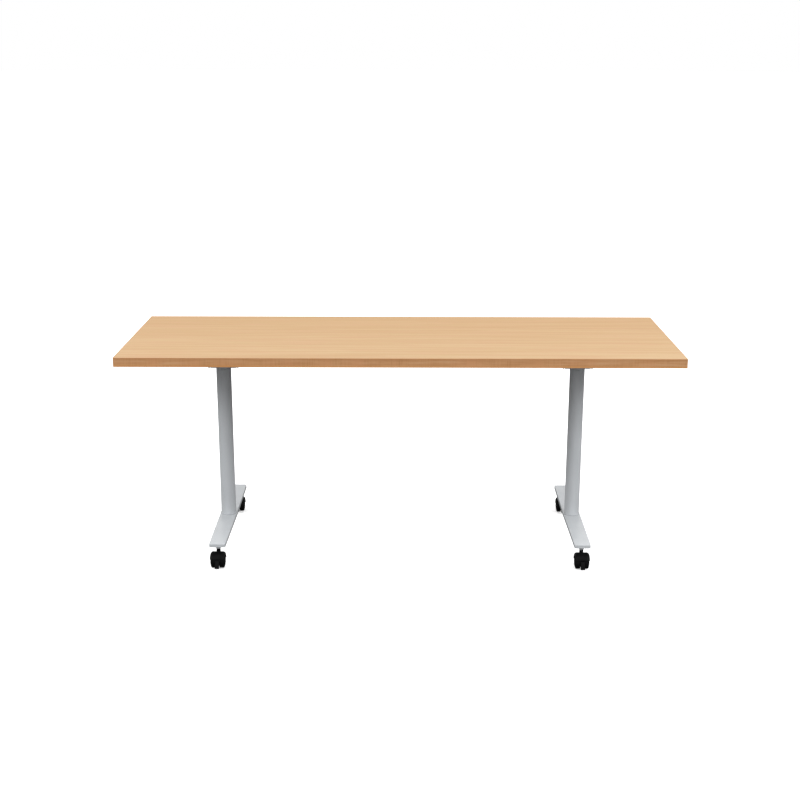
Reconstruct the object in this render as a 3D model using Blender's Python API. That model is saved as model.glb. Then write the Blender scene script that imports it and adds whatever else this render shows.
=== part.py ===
"""Mobile table with a tilting top: two T-shaped legs on braked twin-wheel casters.

Units are metres, +Z is up, +X runs along the table and the user sits at -Y.
The origin is on the floor, under the middle of the top.
"""

from math import asin, cos, pi, radians, sin, sqrt

import bmesh
import bpy
from mathutils import Matrix, Vector

for old in list(bpy.data.objects):
    bpy.data.objects.remove(old, do_unlink=True)

# Overall sizes
TABLE_HEIGHT = 0.730
TOP_LENGTH = 1.829
TOP_DEPTH = 0.650
TOP_THICKNESS = 0.030
BAND_THICKNESS = 0.002
TOP_CORNER_RADIUS = 0.003

# Clearances
SEAT_GAP = 0.0003
RUNNING_GAP = 0.0003
CUT_OVERSHOOT = 0.005

# Sides of round forms
TUBE_SIDES = 24
WHEEL_SIDES = 16
SMALL_SIDES = 12
SCREW_SIDES = 8

# Legs
COLUMN_INSET = 0.3055
COLUMN_DIAMETER = 0.0514
COLUMN_WALL = 0.002
FOOT_LENGTH = 0.600
FOOT_WIDTH = 0.058
FOOT_TIP_WIDTH = 0.054
FOOT_THICKNESS = 0.012
FOOT_CORNER_RADIUS = 0.006
FOOT_EDGE_ROUND = 0.0018
FOOT_SKIN = 0.005
FOOT_RIB = 0.008
COLUMN_PAD_RADIUS = 0.030
PLUG_HEIGHT = 0.020
BOLT_DIAMETER = 0.008
BOLT_HEAD_DIAMETER = 0.013
BOLT_HEAD_HEIGHT = 0.005
BOLT_HEAD_RECESS = 0.0055
BOLT_HEAD_CLEARANCE = 0.0009
BOLT_GRIP = 0.015
BOLT_SOCKET_DIAMETER = 0.006
BOLT_SOCKET_DEPTH = 0.003

# Tilting joint
PIVOT_DROP = 0.049
CROSS_TUBE_DIAMETER = 0.0508
CROSS_TUBE_WALL = 0.002
BARREL_WALL = 0.0083
BARREL_LENGTH = 0.088
BARREL_CHAMFER = 0.0012
SPIGOT_LENGTH = 0.045
SPIGOT_CHAMFER = 0.002
NECK_FLARE = 0.005
NECK_SINK = 0.0154
BUSH_WALL = 0.002
BUSH_FLANGE = 0.0017
BUSH_FLANGE_RIM = 0.004
EAR_THICKNESS = 0.005
EAR_TOE_RADIUS = 0.003
EAR_TOE_INSET = 0.004
EAR_SINK = 0.0005
ROD_LUG_WALL = 0.006
PLATE_THICKNESS = 0.004
PLATE_LENGTH = 0.196
PLATE_CORNER = 0.006
PLATE_HOLE_DIAMETER = 0.005
PLATE_HOLE_SPACING = 0.170
PLATE_HOLE_PITCH = 0.0324
TUBE_OVERHANG = 0.004
CAP_FLANGE = 0.003
CAP_EDGE = 0.0015
CAP_PLUG_LENGTH = 0.012
CAP_WALL = 0.003

# Release
ROD_DIAMETER = 0.010
ROD_BACK = 0.052
ROD_RISE = 0.025
ROD_OVERHANG = 0.006
ROD_CHAMFER = 0.001
COLLAR_WALL = 0.0035
PAWL_WIDTH = 0.012
PAWL_OFFSET = 0.028
PAWL_TIP_RADIUS = 0.0015
PAWL_LIFT = 0.0006
PAWL_HEEL_BACK = 0.007
PAWL_HEEL_RISE = 0.0065
PAWL_HEEL_RADIUS = 0.0035
NOTCH_ANGLE = 49.0
NOTCH_WIDTH = 0.006
NOTCH_DEPTH = 0.003
NOTCH_DRAFT = 0.0009
NOTCH_SIDE_GAP = 0.001
TOP_TILT = 90.0
PADDLE_WIDTH = 0.070
PADDLE_REACH = 0.075
PADDLE_DROP = 0.010
PADDLE_THICKNESS = 0.0035
PADDLE_OFFSET = 0.159
PADDLE_CORNER = 0.008
SPRING_WIRE = 0.0014
SPRING_TURNS = 3
SPRING_PITCH = 0.0021
SPRING_CLEARANCE = 0.0008
SPRING_STEPS = 7

# Casters
CASTER_INSET = 0.030
WHEEL_DIAMETER = 0.050
WHEEL_HALF_WIDTH = 0.0220
WHEEL_INNER_FACE = 0.007
WHEEL_DOME = 0.0245
WHEEL_CORNER = 0.0035
WHEEL_RIM = 0.0035
WHEEL_HUB_WALL = 0.0035
WHEEL_DRAFT = 0.001
WHEEL_WEB = 0.004
WHEEL_DISC_STEP = 0.0018
WHEEL_CROWN = 0.0004
AXLE_DIAMETER = 0.006
AXLE_SHORTFALL = 0.0015
AXLE_TRAIL = 0.018
HOOD_CLEARANCE = 0.0023
HOOD_SIDE_CLEARANCE = 0.0008
HOOD_WALL = 0.0022
HOOD_CORNER = 0.0085
HOOD_SKIRT = 0.0055
HOOD_FRONT_ANGLE = 24.0
HOOD_BACK_ANGLE = 176.0
HOOD_STEPS = 8
WEB_THICKNESS = 0.011
WEB_FRONT_ANGLE = 78.0
WEB_BOSS_RADIUS = 0.0085
WEB_DISC_RADIUS = 0.0190
NECK_RISE = 0.0052
NECK_TOP_RADIUS = 0.0066
NECK_WAIST_RADIUS = 0.0070
NECK_BASE_RADIUS = 0.0085
NECK_ROOT_RADIUS = 0.0065
NECK_FLARE_HEIGHT = 0.003
STEM_DIAMETER = 0.008
STEM_DEPTH = 0.020
STEM_GROOVE = 0.0008
STEM_GROOVE_WIDTH = 0.002
SOCKET_HEIGHT = 0.015
SOCKET_TOP_RADIUS = 0.014
SOCKET_BOTTOM_RADIUS = 0.008
SOCKET_SPIGOT_RADIUS = 0.0075
SOCKET_SPIGOT_HEIGHT = 0.004
LEVER_HALF_WIDTH = 0.0063
LEVER_TAB_HALF_WIDTH = 0.0073
LEVER_HUB_RADIUS = 0.0042
LEVER_PIN_RADIUS = 0.0018
LEVER_ELBOW_REACH = 0.0274
LEVER_ELBOW_RISE = 0.0035
LEVER_SLOT_GAP = 0.001
LEVER_PIVOT_RADIUS = 0.0180
LEVER_PIVOT_ANGLE = 46.0
LEVER_REACH = 0.0352
LEVER_TIP_HEIGHT = 0.0088
LEVER_THICKNESS = 0.0030
LEVER_TAB_START = 0.40
LEVER_TRAVEL = 14.0
TONGUE_HALF_WIDTH = 0.0025
TONGUE_TIP_RADIUS = 0.0036
TONGUE_ROOT_RADIUS = 0.0077

# Worked-out places
COLUMN_SPACING = TOP_LENGTH - 2 * COLUMN_INSET
COLUMN_RADIUS = COLUMN_DIAMETER / 2
CROSS_TUBE_RADIUS = CROSS_TUBE_DIAMETER / 2
UNDERSIDE = TABLE_HEIGHT - TOP_THICKNESS
PIVOT_HEIGHT = UNDERSIDE - PIVOT_DROP
BARREL_BORE = CROSS_TUBE_RADIUS + SEAT_GAP
BARREL_RADIUS = BARREL_BORE + BARREL_WALL
EAR_BORE = CROSS_TUBE_RADIUS + RUNNING_GAP + BUSH_WALL + SEAT_GAP
EAR_INNER = BARREL_LENGTH / 2 + BUSH_FLANGE + 2 * RUNNING_GAP
EAR_OUTER = EAR_INNER + EAR_THICKNESS
TUBE_END = EAR_OUTER + TUBE_OVERHANG
PLATE_BOTTOM = PIVOT_DROP - SEAT_GAP - PLATE_THICKNESS
WHEEL_RADIUS = WHEEL_DIAMETER / 2
HOOD_INNER = WHEEL_RADIUS + HOOD_CLEARANCE
HOOD_RADIUS = HOOD_INNER + HOOD_WALL
HOOD_HALF_WIDTH = WHEEL_HALF_WIDTH + HOOD_SIDE_CLEARANCE + HOOD_WALL
NECK_TOP = WHEEL_RADIUS + HOOD_RADIUS + NECK_RISE
SOCKET_BOTTOM = NECK_TOP + RUNNING_GAP
FOOT_BOTTOM = SOCKET_BOTTOM + SOCKET_HEIGHT
FOOT_TOP = FOOT_BOTTOM + FOOT_THICKNESS
COLUMN_BOTTOM = FOOT_TOP + SEAT_GAP
COLUMN_TOP = PIVOT_HEIGHT - BARREL_RADIUS
COLUMN_BORE = COLUMN_RADIUS - COLUMN_WALL
ROD_RADIUS = ROD_DIAMETER / 2
COLLAR_RADIUS = ROD_RADIUS + SEAT_GAP + COLLAR_WALL
CASTER_PLACE = FOOT_LENGTH / 2 - CASTER_INSET

SIDES = ((-1, "left"), (1, "right"))
ENDS = ((-1, "front"), (1, "back"))


# Materials
def make_material(name, colour, metallic, roughness):
    material = bpy.data.materials.new(name)
    material.use_nodes = True
    shader = material.node_tree.nodes["Principled BSDF"]
    shader.inputs["Base Color"].default_value = (*colour, 1.0)
    shader.inputs["Metallic"].default_value = metallic
    shader.inputs["Roughness"].default_value = roughness
    return material


BEECH = make_material("beech_laminate", (0.72, 0.50, 0.30), 0.0, 0.42)
BAND = make_material("beech_edge_band", (0.50, 0.28, 0.13), 0.0, 0.45)
SILVER = make_material("silver_paint", (0.45, 0.47, 0.49), 0.35, 0.42)
STEEL = make_material("bright_steel", (0.60, 0.60, 0.60), 0.9, 0.30)
NYLON = make_material("black_nylon", (0.012, 0.012, 0.013), 0.0, 0.42)
PALE_NYLON = make_material("pale_nylon", (0.70, 0.69, 0.65), 0.0, 0.50)


# Building tools
def make_empty(name, place, parent=None):
    """An unseen point that pieces hang from."""
    empty = bpy.data.objects.new(name, None)
    bpy.context.collection.objects.link(empty)
    empty.parent = parent
    empty.location = place
    return empty


def make_object(name, mesh, material, parent, place=(0, 0, 0)):
    """A piece with its material, at its place under its parent."""
    mesh.materials.clear()
    mesh.materials.append(material)
    piece = bpy.data.objects.new(name, mesh)
    bpy.context.collection.objects.link(piece)
    piece.parent = parent
    piece.location = place
    return piece


def finish_mesh(bm, name):
    """Turn a closed bmesh into a mesh whose faces point out."""
    bmesh.ops.remove_doubles(bm, verts=bm.verts, dist=1e-6)
    bmesh.ops.recalc_face_normals(bm, faces=bm.faces)
    mesh = bpy.data.meshes.new(name)
    bm.to_mesh(mesh)
    bm.free()
    mesh.shade_smooth()
    mesh.set_sharp_from_angle(angle=radians(32))
    return mesh


def join_or_cut(mesh, other, operation):
    """Boolean of two meshes in the same space."""
    base = bpy.data.objects.new("base", mesh)
    tool = bpy.data.objects.new("tool", other)
    for item in (base, tool):
        bpy.context.collection.objects.link(item)
    modifier = base.modifiers.new("boolean", "BOOLEAN")
    modifier.operation = operation
    modifier.solver = "EXACT"
    modifier.object = tool
    bpy.context.view_layer.update()
    evaluated = base.evaluated_get(bpy.context.evaluated_depsgraph_get())
    result = bpy.data.meshes.new_from_object(evaluated)
    bpy.data.objects.remove(base)
    bpy.data.objects.remove(tool)
    bm = bmesh.new()
    bm.from_mesh(result)
    bmesh.ops.dissolve_degenerate(bm, edges=bm.edges, dist=1e-6)
    return finish_mesh(bm, "combined")


def join(mesh, *others):
    for other in others:
        mesh = join_or_cut(mesh, other, "UNION")
    return mesh


def cut(mesh, *others):
    for other in others:
        mesh = join_or_cut(mesh, other, "DIFFERENCE")
    return mesh


def along(axis, a, b, c):
    """A point with c along the axis and a, b on the other two, in X, Y, Z order."""
    return {"X": (c, a, b), "Y": (a, c, b), "Z": (a, b, c)}[axis]


def extrude(name, outline, low, high, axis="Z"):
    """A prism of the outline from low to high along the axis."""
    bm = bmesh.new()
    corners = [bm.verts.new(along(axis, a, b, low)) for a, b in outline]
    face = bm.faces.new(corners)
    grown = bmesh.ops.extrude_face_region(bm, geom=[face])
    moved = [item for item in grown["geom"] if isinstance(item, bmesh.types.BMVert)]
    bmesh.ops.translate(bm, verts=moved, vec=Vector(along(axis, 0, 0, high - low)))
    return finish_mesh(bm, name)


def revolve(name, profile, sides, axis="Z", closed=True, place=(0, 0, 0)):
    """Turn a profile of (radius, distance along axis) points round the axis."""
    bm = bmesh.new()
    points = [bm.verts.new((radius, 0, height)) for radius, height in profile]
    pairs = list(zip(points, points[1:]))
    if closed:
        pairs.append((points[-1], points[0]))
    edges = [bm.edges.new(pair) for pair in pairs]
    bmesh.ops.spin(bm, geom=points + edges, axis=(0, 0, 1), cent=(0, 0, 0), dvec=(0, 0, 0),
                   angle=2 * pi, steps=sides, use_merge=True)
    turn = {"Z": Matrix.Identity(4), "X": Matrix.Rotation(pi / 2, 4, "Y")}[axis]
    bmesh.ops.transform(bm, matrix=Matrix.Translation(place) @ turn, verts=bm.verts)
    return finish_mesh(bm, name)


def rod(name, radius, low, high, sides, axis="Z", place=(0, 0, 0)):
    """A solid round bar."""
    return revolve(name, [(0, low), (radius, low), (radius, high), (0, high)], sides, axis,
                   False, place)


def tube(name, inner, outer, low, high, sides, axis="Z", place=(0, 0, 0)):
    """A round tube with open ends."""
    return revolve(name, [(inner, low), (outer, low), (outer, high), (inner, high)], sides,
                   axis, True, place)


def arc(centre, radius, start, stop, steps):
    """Points on an arc between two angles in degrees."""
    return [(centre[0] + radius * cos(radians(start + (stop - start) * step / steps)),
             centre[1] + radius * sin(radians(start + (stop - start) * step / steps)))
            for step in range(steps + 1)]


def rounded_plate(half_x, half_y, radius, steps=4):
    """A rectangle with round corners, centred on the origin."""
    outline = []
    for quarter, (sx, sy) in enumerate(((1, 1), (-1, 1), (-1, -1), (1, -1))):
        centre = (sx * (half_x - radius), sy * (half_y - radius))
        outline += arc(centre, radius, 90 * quarter, 90 * quarter + 90, steps)
    return outline


def belt(circles, steps):
    """The outline of a belt pulled tight round circles of (a, b, radius)."""
    points = sorted({(round(a, 9), round(b, 9)) for x, y, radius in circles
                     for a, b in arc((x, y), radius, 0, 360, steps)})
    outline = []
    for run in (points, points[::-1]):
        chain = []
        for point in run:
            while len(chain) > 1 and turn_of(chain[-2], chain[-1], point) <= 1e-12:
                chain.pop()
            chain.append(point)
        outline += chain[:-1]
    return outline


def turn_of(a, b, c):
    return (b[0] - a[0]) * (c[1] - a[1]) - (b[1] - a[1]) * (c[0] - a[0])


# Top board and its edge band
def build_top(axis_point):
    drop = -PIVOT_HEIGHT
    board_x = TOP_LENGTH / 2 - BAND_THICKNESS - SEAT_GAP
    board_y = TOP_DEPTH / 2 - BAND_THICKNESS - SEAT_GAP
    board = extrude("tabletop", rounded_plate(board_x, board_y, TOP_CORNER_RADIUS),
                    UNDERSIDE + drop, TABLE_HEIGHT + drop)
    make_object("tabletop", board, BEECH, axis_point)
    ring = extrude("edge_band", rounded_plate(TOP_LENGTH / 2, TOP_DEPTH / 2,
                                              TOP_CORNER_RADIUS + BAND_THICKNESS),
                   UNDERSIDE + drop, TABLE_HEIGHT + drop)
    inside = extrude("inside", rounded_plate(board_x + SEAT_GAP, board_y + SEAT_GAP,
                                             TOP_CORNER_RADIUS + SEAT_GAP),
                     UNDERSIDE + drop - CUT_OVERSHOOT, TABLE_HEIGHT + drop + CUT_OVERSHOOT)
    make_object("edge_band", cut(ring, inside), BAND, axis_point)


# Foot bar: tapered in plan, rounded on its upper edge, pocketed underneath
def build_foot(leg, side_name):
    half = FOOT_LENGTH / 2
    tip = FOOT_TIP_WIDTH / 2
    corner = FOOT_CORNER_RADIUS
    outline = []
    for sx, sy, start in ((1, 1, 0), (-1, 1, 90)):
        outline += arc((sx * (tip - corner), sy * (half - corner)), corner, start, start + 90, 3)
    outline.append((-FOOT_WIDTH / 2, 0))
    for sx, sy, start in ((-1, -1, 180), (1, -1, 270)):
        outline += arc((sx * (tip - corner), sy * (half - corner)), corner, start, start + 90, 3)
    outline.append((FOOT_WIDTH / 2, 0))
    bm = bmesh.new()
    face = bm.faces.new([bm.verts.new((x, y, FOOT_BOTTOM)) for x, y in outline])
    grown = bmesh.ops.extrude_face_region(bm, geom=[face])
    upper = [item for item in grown["geom"] if isinstance(item, bmesh.types.BMVert)]
    bmesh.ops.translate(bm, verts=upper, vec=(0, 0, FOOT_THICKNESS))
    rim = [edge for edge in bm.edges if all(vert.co.z > FOOT_TOP - 1e-6 for vert in edge.verts)]
    bmesh.ops.bevel(bm, geom=rim, offset=FOOT_EDGE_ROUND, segments=2, profile=0.5,
                    affect="EDGES", material=-1)
    foot = finish_mesh(bm, "foot")
    pocket_start = COLUMN_PAD_RADIUS
    pocket_stop = CASTER_PLACE - SOCKET_TOP_RADIUS - FOOT_RIB
    length = (pocket_stop - pocket_start - FOOT_RIB) / 2
    pocket_width = FOOT_TIP_WIDTH - 2 * FOOT_RIB
    for way in (-1, 1):
        for number in range(2):
            middle = pocket_start + length / 2 + number * (length + FOOT_RIB)
            outline = [(x, y + way * middle)
                       for x, y in rounded_plate(pocket_width / 2, length / 2, FOOT_RIB, 1)]
            foot = cut(foot, extrude("pocket", outline, FOOT_BOTTOM - CUT_OVERSHOOT,
                                     FOOT_TOP - FOOT_SKIN))
        hole = rod("hole", SOCKET_SPIGOT_RADIUS + SEAT_GAP, FOOT_BOTTOM - CUT_OVERSHOOT,
                   FOOT_BOTTOM + SOCKET_SPIGOT_HEIGHT + SEAT_GAP, WHEEL_SIDES,
                   place=(0, way * CASTER_PLACE, 0))
        foot = cut(foot, hole)
    bolt_hole = rod("bolt_hole", BOLT_DIAMETER / 2 + SEAT_GAP, FOOT_BOTTOM - CUT_OVERSHOOT,
                    FOOT_TOP + CUT_OVERSHOOT, SMALL_SIDES)
    recess = rod("recess", BOLT_HEAD_DIAMETER / 2 + BOLT_HEAD_CLEARANCE,
                 FOOT_BOTTOM - CUT_OVERSHOOT, FOOT_BOTTOM + BOLT_HEAD_RECESS, SMALL_SIDES)
    foot = cut(foot, bolt_hole, recess)
    make_object("foot_" + side_name, foot, SILVER, leg)


# Column tube, the threaded plug inside it and the bolt from below
def build_column(leg, side_name):
    column = tube("column", COLUMN_BORE, COLUMN_RADIUS, COLUMN_BOTTOM, COLUMN_TOP, TUBE_SIDES)
    make_object("column_" + side_name, column, SILVER, leg)
    low = COLUMN_BOTTOM
    bore = BOLT_DIAMETER / 2 + SEAT_GAP
    plug = tube("plug", bore, COLUMN_BORE - SEAT_GAP, low, low + PLUG_HEIGHT, WHEEL_SIDES)
    make_object("column_plug_" + side_name, plug, STEEL, leg)
    seat = FOOT_BOTTOM + BOLT_HEAD_RECESS - SEAT_GAP
    head = BOLT_HEAD_DIAMETER / 2
    shank = BOLT_DIAMETER / 2
    socket = BOLT_SOCKET_DIAMETER / 2
    head_bottom = seat - BOLT_HEAD_HEIGHT
    socket_top = head_bottom + BOLT_SOCKET_DEPTH
    profile = [(0, socket_top), (socket, socket_top), (socket, head_bottom),
               (head, head_bottom), (head, seat), (shank, seat),
               (shank, low + BOLT_GRIP), (0, low + BOLT_GRIP)]
    bolt = revolve("bolt", profile, SMALL_SIDES, closed=False)
    make_object("column_bolt_" + side_name, bolt, STEEL, leg)


# Column head: a cast tee with a spigot, a flared neck and a notched barrel
def build_head(leg, side_name, side):
    skin = COLUMN_BORE - SEAT_GAP
    shoulder = COLUMN_TOP + SEAT_GAP
    spigot_end = shoulder - SPIGOT_LENGTH
    neck_top = PIVOT_HEIGHT - NECK_SINK
    profile = [(0, spigot_end), (skin - SPIGOT_CHAMFER, spigot_end),
               (skin, spigot_end + SPIGOT_CHAMFER), (skin, shoulder), (COLUMN_RADIUS, shoulder)]
    for share in (1 / 3, 2 / 3, 1):
        profile.append((COLUMN_RADIUS + NECK_FLARE * share ** 2,
                        shoulder + (neck_top - shoulder) * share))
    profile.append((0, neck_top))
    neck = revolve("neck", profile, TUBE_SIDES, closed=False)
    half = BARREL_LENGTH / 2
    lip = BARREL_RADIUS - BARREL_CHAMFER
    barrel_profile = [(0, -half), (lip, -half), (BARREL_RADIUS, -half + BARREL_CHAMFER),
                      (BARREL_RADIUS, half - BARREL_CHAMFER), (lip, half), (0, half)]
    pivot = (0, 0, PIVOT_HEIGHT)
    barrel = revolve("barrel", barrel_profile, TUBE_SIDES, "X", False, pivot)
    reach = half + CUT_OVERSHOOT
    bore = rod("bore", BARREL_BORE, -reach, reach, TUBE_SIDES, "X", pivot)
    head = cut(join(barrel, neck), bore)
    for turn in (NOTCH_ANGLE, NOTCH_ANGLE + TOP_TILT):
        head = cut(head, build_notch(radians(turn), -side * PAWL_OFFSET))
    make_object("column_head_" + side_name, head, SILVER, leg)


def build_notch(turn, middle):
    """A slot across the barrel that the pawl drops into."""
    near = BARREL_RADIUS - NOTCH_DEPTH
    far = BARREL_RADIUS + NOTCH_DEPTH
    root = NOTCH_WIDTH / 2 - NOTCH_DRAFT
    mouth = NOTCH_WIDTH / 2 + NOTCH_DRAFT
    corners = [(near, -root), (far, -mouth), (far, mouth), (near, root)]
    outline = [(r * cos(turn) - s * sin(turn), PIVOT_HEIGHT + r * sin(turn) + s * cos(turn))
               for r, s in corners]
    reach = PAWL_WIDTH / 2 + NOTCH_SIDE_GAP
    return extrude("notch", outline, middle - reach, middle + reach, "X")


# Cross tube between the heads, with a cap in each end
def build_cross_tube():
    end = COLUMN_SPACING / 2 + TUBE_END
    bore = CROSS_TUBE_RADIUS - CROSS_TUBE_WALL
    pivot = (0, 0, PIVOT_HEIGHT)
    pipe = tube("cross_tube", bore, CROSS_TUBE_RADIUS, -end, end, TUBE_SIDES, "X",
                pivot)
    make_object("cross_tube", pipe, SILVER, None)
    for side, side_name in SIDES:
        face = side * (end + SEAT_GAP)
        rim = CROSS_TUBE_RADIUS
        plug = bore - SEAT_GAP
        profile = [(0, face + side * CAP_FLANGE), (rim - CAP_EDGE, face + side * CAP_FLANGE),
                   (rim, face + side * (CAP_FLANGE - CAP_EDGE)), (rim, face), (plug, face),
                   (plug, face - side * CAP_PLUG_LENGTH),
                   (plug - CAP_WALL, face - side * CAP_PLUG_LENGTH),
                   (plug - CAP_WALL, face), (0, face)]
        cap = revolve("cap", profile, WHEEL_SIDES, "X", False, pivot)
        make_object("tube_cap_" + side_name, cap, NYLON, None)


# Tilt bracket: a screwed plate with two ears, and the bushes in the ears
def build_bracket(axis_point, side, side_name):
    centre = side * COLUMN_SPACING / 2
    holder = make_empty("bracket_" + side_name, (centre, 0, 0), axis_point)
    toe_height = PLATE_BOTTOM - EAR_TOE_RADIUS + EAR_SINK
    toe_reach = PLATE_LENGTH / 2 - EAR_TOE_INSET
    ear_outline = belt([(0, 0, BARREL_RADIUS), (ROD_BACK, ROD_RISE, ROD_RADIUS + ROD_LUG_WALL),
                        (-toe_reach, toe_height, EAR_TOE_RADIUS),
                        (toe_reach, toe_height, EAR_TOE_RADIUS)], WHEEL_SIDES)
    plate = extrude("plate", rounded_plate(EAR_OUTER, PLATE_LENGTH / 2, PLATE_CORNER, 3),
                    PLATE_BOTTOM, PLATE_BOTTOM + PLATE_THICKNESS)
    ears = [extrude("ear", ear_outline, low, high, "X")
            for low, high in ((-EAR_OUTER, -EAR_INNER), (EAR_INNER, EAR_OUTER))]
    bracket = join(plate, *ears)
    reach = EAR_OUTER + CUT_OVERSHOOT
    bracket = cut(bracket, rod("bore", EAR_BORE, -reach, reach, TUBE_SIDES, "X"),
                  rod("rod_hole", ROD_RADIUS + RUNNING_GAP, -reach, reach, SMALL_SIDES, "X",
                      (0, ROD_BACK, ROD_RISE)))
    for x in (-1, 0, 1):
        for y in (-1, 1):
            place = (x * PLATE_HOLE_PITCH, y * PLATE_HOLE_SPACING / 2, 0)
            hole = rod("hole", PLATE_HOLE_DIAMETER / 2, PLATE_BOTTOM - CUT_OVERSHOOT,
                       PLATE_BOTTOM + PLATE_THICKNESS + CUT_OVERSHOOT, SCREW_SIDES, place=place)
            bracket = cut(bracket, hole)
    make_object("tilt_bracket_" + side_name, bracket, SILVER, holder)
    inner = CROSS_TUBE_RADIUS + RUNNING_GAP
    outer = inner + BUSH_WALL
    flange = outer + BUSH_FLANGE_RIM
    for way, way_name in ((-1, "a"), (1, "b")):
        near = way * (EAR_INNER - RUNNING_GAP - BUSH_FLANGE)
        step = way * (EAR_INNER - SEAT_GAP)
        far = way * EAR_OUTER
        profile = [(inner, near), (flange, near), (flange, step), (outer, step), (outer, far),
                   (inner, far)]
        bush = revolve("bush", profile, TUBE_SIDES, "X")
        make_object("tilt_bush_" + side_name + "_" + way_name, bush, PALE_NYLON, holder)


# Release rod with a pawl and a paddle at each side, and the pawl springs
def build_release(axis_point):
    rod_axis = make_empty("release_axis", (0, ROD_BACK, ROD_RISE), axis_point)
    end = COLUMN_SPACING / 2 + EAR_OUTER + ROD_OVERHANG
    edge = ROD_RADIUS - ROD_CHAMFER
    profile = [(0, -end), (edge, -end), (ROD_RADIUS, -end + ROD_CHAMFER),
               (ROD_RADIUS, end - ROD_CHAMFER), (edge, end), (0, end)]
    shaft = revolve("rod", profile, WHEEL_SIDES, "X", False)
    make_object("release_rod", shaft, STEEL, rod_axis)
    tip_distance = BARREL_RADIUS + PAWL_LIFT + PAWL_TIP_RADIUS
    tip = (tip_distance * cos(radians(NOTCH_ANGLE)) - ROD_BACK,
           tip_distance * sin(radians(NOTCH_ANGLE)) - ROD_RISE)
    heel = (tip[0] + PAWL_HEEL_BACK, tip[1] + PAWL_HEEL_RISE)
    pawl_outline = belt([(0, 0, COLLAR_RADIUS), (*heel, PAWL_HEEL_RADIUS),
                         (*tip, PAWL_TIP_RADIUS)], WHEEL_SIDES)
    bore = ROD_RADIUS + SEAT_GAP
    for side, side_name in SIDES:
        middle = side * (COLUMN_SPACING / 2 - PAWL_OFFSET)
        reach = PAWL_WIDTH / 2
        pawl = extrude("pawl", pawl_outline, -reach, reach, "X")
        pawl = cut(pawl, rod("bore", bore, -2 * reach, 2 * reach, WHEEL_SIDES, "X"))
        make_object("latch_pawl_" + side_name, pawl, STEEL, rod_axis, (middle, 0, 0))
        build_paddle(rod_axis, side, side_name)
        build_spring(rod_axis, side, side_name, middle + side * (reach + SPRING_WIRE))


def build_paddle(rod_axis, side, side_name):
    """A collar on the rod with a flat handle that slopes down towards the back."""
    slope = asin(PADDLE_DROP / PADDLE_REACH)
    blade = bmesh.new()
    half = PADDLE_WIDTH / 2
    corner_y = PADDLE_REACH - PADDLE_CORNER
    outline = [(-half, ROD_RADIUS + COLLAR_WALL / 2), (half, ROD_RADIUS + COLLAR_WALL / 2)]
    outline += arc((half - PADDLE_CORNER, corner_y), PADDLE_CORNER, 0, 90, 3)
    outline += arc((PADDLE_CORNER - half, corner_y), PADDLE_CORNER, 90, 180, 3)
    face = blade.faces.new([blade.verts.new((x, y, -PADDLE_THICKNESS / 2)) for x, y in outline])
    grown = bmesh.ops.extrude_face_region(blade, geom=[face])
    upper = [item for item in grown["geom"] if isinstance(item, bmesh.types.BMVert)]
    bmesh.ops.translate(blade, verts=upper, vec=(0, 0, PADDLE_THICKNESS))
    bmesh.ops.transform(blade, matrix=Matrix.Rotation(-slope, 4, "X"), verts=blade.verts)
    collar = rod("collar", COLLAR_RADIUS, -half, half, WHEEL_SIDES, "X")
    paddle = join(collar, finish_mesh(blade, "blade"))
    bore = rod("bore", ROD_RADIUS + SEAT_GAP, -2 * half, 2 * half, WHEEL_SIDES, "X")
    paddle = cut(paddle, bore)
    make_object("release_paddle_" + side_name, paddle, NYLON, rod_axis,
                (side * (COLUMN_SPACING / 2 - PADDLE_OFFSET), 0, 0))


def build_spring(rod_axis, side, side_name, start):
    """A torsion spring wound round the rod beside the pawl."""
    radius = ROD_RADIUS + SPRING_WIRE / 2 + SPRING_CLEARANCE
    curve = bpy.data.curves.new("pawl_spring_" + side_name, "CURVE")
    curve.dimensions = "3D"
    curve.bevel_depth = SPRING_WIRE / 2
    curve.bevel_resolution = 1
    curve.use_fill_caps = True
    spline = curve.splines.new("POLY")
    count = SPRING_TURNS * SPRING_STEPS + 1
    spline.points.add(count - 1)
    for index in range(count):
        turn = 2 * pi * index / SPRING_STEPS
        spline.points[index].co = (side * SPRING_PITCH * index / SPRING_STEPS,
                                   radius * cos(turn), radius * sin(turn), 1)
    make_object("pawl_spring_" + side_name, curve, STEEL, rod_axis, (start, 0, 0))


# Caster socket and stem, which stay with the foot
def build_socket(place, name):
    bore = STEM_DIAMETER / 2 + SEAT_GAP
    top = FOOT_BOTTOM - SEAT_GAP
    profile = [(bore, SOCKET_BOTTOM), (SOCKET_BOTTOM_RADIUS, SOCKET_BOTTOM)]
    for share in (0.5, 1):
        profile.append((SOCKET_BOTTOM_RADIUS
                        + (SOCKET_TOP_RADIUS - SOCKET_BOTTOM_RADIUS) * share ** 1.6,
                        SOCKET_BOTTOM + (top - SOCKET_BOTTOM) * share))
    profile += [(SOCKET_SPIGOT_RADIUS, top), (SOCKET_SPIGOT_RADIUS, top + SOCKET_SPIGOT_HEIGHT),
                (bore, top + SOCKET_SPIGOT_HEIGHT)]
    make_object("caster_socket_" + name, revolve("socket", profile, WHEEL_SIDES), SILVER,
                place)
    low = NECK_TOP - STEM_DEPTH
    high = top + SOCKET_SPIGOT_HEIGHT
    radius = STEM_DIAMETER / 2
    waist = radius - STEM_GROOVE
    groove_low = low + STEM_DEPTH / 4
    groove_high = groove_low + STEM_GROOVE_WIDTH
    profile = [(0, low), (waist, low), (radius, low + STEM_GROOVE), (radius, groove_low),
               (waist, groove_low), (waist, groove_high), (radius, groove_high), (radius, high),
               (0, high)]
    stem = revolve("stem", profile, SCREW_SIDES, closed=False)
    make_object("caster_stem_" + name, stem, STEEL, place)


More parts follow.
